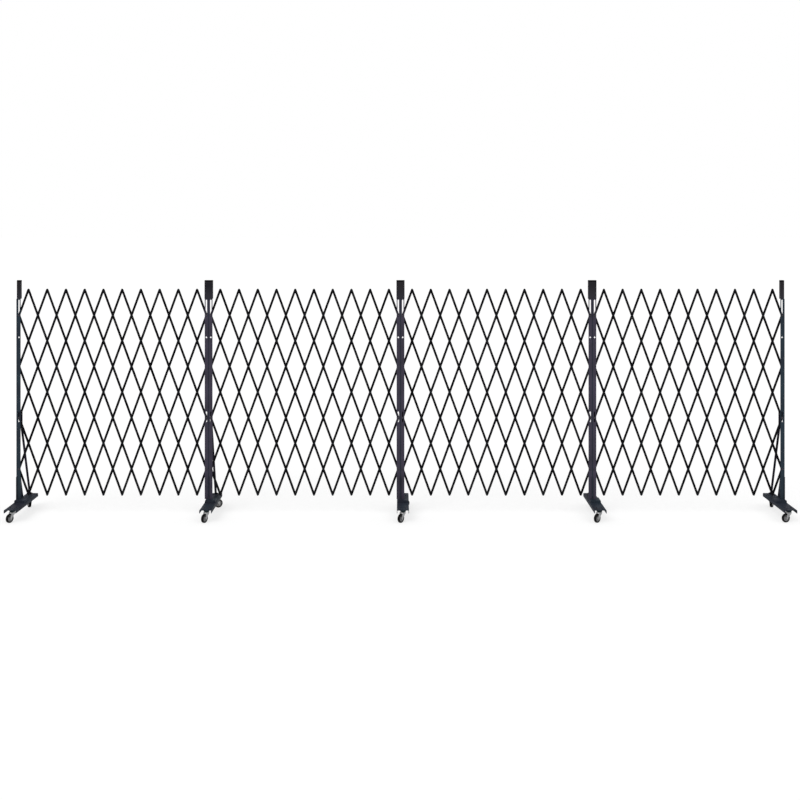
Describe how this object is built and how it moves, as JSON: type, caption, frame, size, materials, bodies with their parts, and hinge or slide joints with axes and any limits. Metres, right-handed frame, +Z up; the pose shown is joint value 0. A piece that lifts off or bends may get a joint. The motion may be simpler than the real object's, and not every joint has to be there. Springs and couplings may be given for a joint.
{
  "type": "folding barrier",
  "caption": "Free-standing folding barrier: riveted scissor lattice panels between angle posts on braced channel feet with swivel casters. It folds sideways.",
  "frame": {"origin": "on the floor, under the middle of the middle station", "axes": "+X along the barrier to the right as seen from the front, -Y to the front, +Z up"},
  "size_m": [6.5024, 0.6, 1.981],
  "materials": {
    "strip_steel": "dark enamel, satin",
    "post_enamel": "violet grey enamel, satin",
    "cap_enamel": "dark enamel, satin",
    "foot_enamel": "dark enamel, satin",
    "race_steel": "dark pressed steel",
    "zinc_plate": "bright zinc plate",
    "black_rubber": "matt black"
  },
  "bodies": {
    "station_1": {"station_1_foot": "foot_enamel", "station_1_brace": "strip_steel", "station_1_cap": "cap_enamel", "station_1_front_caster_plate": "race_steel", "station_1_rear_caster_plate": "race_steel", "panel_1_left_post": "post_enamel"},
    "station_2": {"station_2_foot": "foot_enamel", "station_2_brace": "strip_steel", "station_2_cap": "cap_enamel", "station_2_front_caster_plate": "race_steel", "station_2_rear_caster_plate": "race_steel", "panel_1_right_post": "post_enamel", "panel_2_left_post": "post_enamel", "panel_1_lattice": "strip_steel"},
    "station_3": {"station_3_foot": "foot_enamel", "station_3_brace": "strip_steel", "station_3_cap": "cap_enamel", "station_3_front_caster_plate": "race_steel", "station_3_rear_caster_plate": "race_steel", "panel_2_right_post": "post_enamel", "panel_3_left_post": "post_enamel", "panel_2_lattice": "strip_steel", "panel_3_lattice": "strip_steel"},
    "station_4": {"station_4_foot": "foot_enamel", "station_4_brace": "strip_steel", "station_4_cap": "cap_enamel", "station_4_front_caster_plate": "race_steel", "station_4_rear_caster_plate": "race_steel", "panel_3_right_post": "post_enamel", "panel_4_left_post": "post_enamel", "panel_4_lattice": "strip_steel"},
    "station_5": {"station_5_foot": "foot_enamel", "station_5_brace": "strip_steel", "station_5_cap": "cap_enamel", "station_5_front_caster_plate": "race_steel", "station_5_rear_caster_plate": "race_steel", "panel_4_right_post": "post_enamel"},
    "station_1_front_fork": {"station_1_front_fork": "zinc_plate"},
    "station_1_front_wheel": {"station_1_front_wheel": "black_rubber"},
    "station_1_rear_fork": {"station_1_rear_fork": "zinc_plate"},
    "station_1_rear_wheel": {"station_1_rear_wheel": "black_rubber"},
    "station_2_front_fork": {"station_2_front_fork": "zinc_plate"},
    "station_2_front_wheel": {"station_2_front_wheel": "black_rubber"},
    "station_2_rear_fork": {"station_2_rear_fork": "zinc_plate"},
    "station_2_rear_wheel": {"station_2_rear_wheel": "black_rubber"},
    "station_3_front_fork": {"station_3_front_fork": "zinc_plate"},
    "station_3_front_wheel": {"station_3_front_wheel": "black_rubber"},
    "station_3_rear_fork": {"station_3_rear_fork": "zinc_plate"},
    "station_3_rear_wheel": {"station_3_rear_wheel": "black_rubber"},
    "station_4_front_fork": {"station_4_front_fork": "zinc_plate"},
    "station_4_front_wheel": {"station_4_front_wheel": "black_rubber"},
    "station_4_rear_fork": {"station_4_rear_fork": "zinc_plate"},
    "station_4_rear_wheel": {"station_4_rear_wheel": "black_rubber"},
    "station_5_front_fork": {"station_5_front_fork": "zinc_plate"},
    "station_5_front_wheel": {"station_5_front_wheel": "black_rubber"},
    "station_5_rear_fork": {"station_5_rear_fork": "zinc_plate"},
    "station_5_rear_wheel": {"station_5_rear_wheel": "black_rubber"}
  },
  "joints": [
    {"name": "panel_2_fold", "type": "slide", "parent": "station_3", "child": "station_2", "axis": [1, 0, 0], "range_m": [0, 1.405], "deforming": ["panel_2_lattice"]},
    {"name": "panel_1_fold", "type": "slide", "parent": "station_2", "child": "station_1", "axis": [1, 0, 0], "range_m": [0, 1.405], "deforming": ["panel_1_lattice"]},
    {"name": "panel_3_fold", "type": "slide", "parent": "station_3", "child": "station_4", "axis": [-1, 0, 0], "range_m": [0, 1.405], "deforming": ["panel_3_lattice"]},
    {"name": "panel_4_fold", "type": "slide", "parent": "station_4", "child": "station_5", "axis": [-1, 0, 0], "range_m": [0, 1.405], "deforming": ["panel_4_lattice"]},
    {"name": "station_1_front_swivel", "type": "hinge", "parent": "station_1", "child": "station_1_front_fork", "pos_m": [-3.2012, -0.235, 0.0854], "axis": [0, 0, 1], "continuous": true},
    {"name": "station_1_front_roll", "type": "hinge", "parent": "station_1_front_fork", "child": "station_1_front_wheel", "pos_m": [-3.21482, -0.26173, 0.03656], "axis": [0.891, -0.454, 0], "continuous": true},
    {"name": "station_1_rear_swivel", "type": "hinge", "parent": "station_1", "child": "station_1_rear_fork", "pos_m": [-3.2012, 0.235, 0.0854], "axis": [0, 0, 1], "continuous": true},
    {"name": "station_1_rear_roll", "type": "hinge", "parent": "station_1_rear_fork", "child": "station_1_rear_wheel", "pos_m": [-3.2162, 0.26098, 0.03656], "axis": [-0.866, -0.5, 0], "continuous": true},
    {"name": "station_2_front_swivel", "type": "hinge", "parent": "station_2", "child": "station_2_front_fork", "pos_m": [-1.5996, -0.235, 0.0854], "axis": [0, 0, 1], "continuous": true},
    {"name": "station_2_front_roll", "type": "hinge", "parent": "station_2_front_fork", "child": "station_2_front_wheel", "pos_m": [-1.61275, -0.26196, 0.03656], "axis": [0.8988, -0.4384, 0], "continuous": true},
    {"name": "station_2_rear_swivel", "type": "hinge", "parent": "station_2", "child": "station_2_rear_fork", "pos_m": [-1.5996, 0.235, 0.0854], "axis": [0, 0, 1], "continuous": true},
    {"name": "station_2_rear_roll", "type": "hinge", "parent": "station_2_rear_fork", "child": "station_2_rear_wheel", "pos_m": [-1.57502, 0.25221, 0.03656], "axis": [-0.5736, 0.8192, 0], "continuous": true},
    {"name": "station_3_front_swivel", "type": "hinge", "parent": "station_3", "child": "station_3_front_fork", "pos_m": [0.02, -0.235, 0.0854], "axis": [0, 0, 1], "continuous": true},
    {"name": "station_3_front_roll", "type": "hinge", "parent": "station_3_front_fork", "child": "station_3_front_wheel", "pos_m": [0.00279, -0.25958, 0.03656], "axis": [0.8192, -0.5736, 0], "continuous": true},
    {"name": "station_3_rear_swivel", "type": "hinge", "parent": "station_3", "child": "station_3_rear_fork", "pos_m": [0.02, 0.235, 0.0854], "axis": [0, 0, 1], "continuous": true},
    {"name": "station_3_rear_roll", "type": "hinge", "parent": "station_3_rear_fork", "child": "station_3_rear_wheel", "pos_m": [0.04457, 0.25221, 0.03656], "axis": [-0.5736, 0.8192, 0], "continuous": true},
    {"name": "station_4_front_swivel", "type": "hinge", "parent": "station_4", "child": "station_4_front_fork", "pos_m": [1.6396, -0.235, 0.0854], "axis": [0, 0, 1], "continuous": true},
    {"name": "station_4_front_roll", "type": "hinge", "parent": "station_4_front_fork", "child": "station_4_front_wheel", "pos_m": [1.61876, -0.25658, 0.03656], "axis": [0.7193, -0.6947, 0], "continuous": true},
    {"name": "station_4_rear_swivel", "type": "hinge", "parent": "station_4", "child": "station_4_rear_fork", "pos_m": [1.6396, 0.235, 0.0854], "axis": [0, 0, 1], "continuous": true},
    {"name": "station_4_rear_roll", "type": "hinge", "parent": "station_4_rear_fork", "child": "station_4_rear_wheel", "pos_m": [1.66417, 0.25221, 0.03656], "axis": [-0.5736, 0.8192, 0], "continuous": true},
    {"name": "station_5_front_swivel", "type": "hinge", "parent": "station_5", "child": "station_5_front_fork", "pos_m": [3.2012, -0.235, 0.0854], "axis": [0, 0, 1], "continuous": true},
    {"name": "station_5_front_roll", "type": "hinge", "parent": "station_5_front_fork", "child": "station_5_front_wheel", "pos_m": [3.17359, -0.24672, 0.03656], "axis": [0.3907, -0.9205, 0], "continuous": true},
    {"name": "station_5_rear_swivel", "type": "hinge", "parent": "station_5", "child": "station_5_rear_fork", "pos_m": [3.2012, 0.235, 0.0854], "axis": [0, 0, 1], "continuous": true},
    {"name": "station_5_rear_roll", "type": "hinge", "parent": "station_5_rear_fork", "child": "station_5_rear_wheel", "pos_m": [3.2162, 0.26098, 0.03656], "axis": [-0.866, 0.5, 0], "continuous": true}
  ]
}
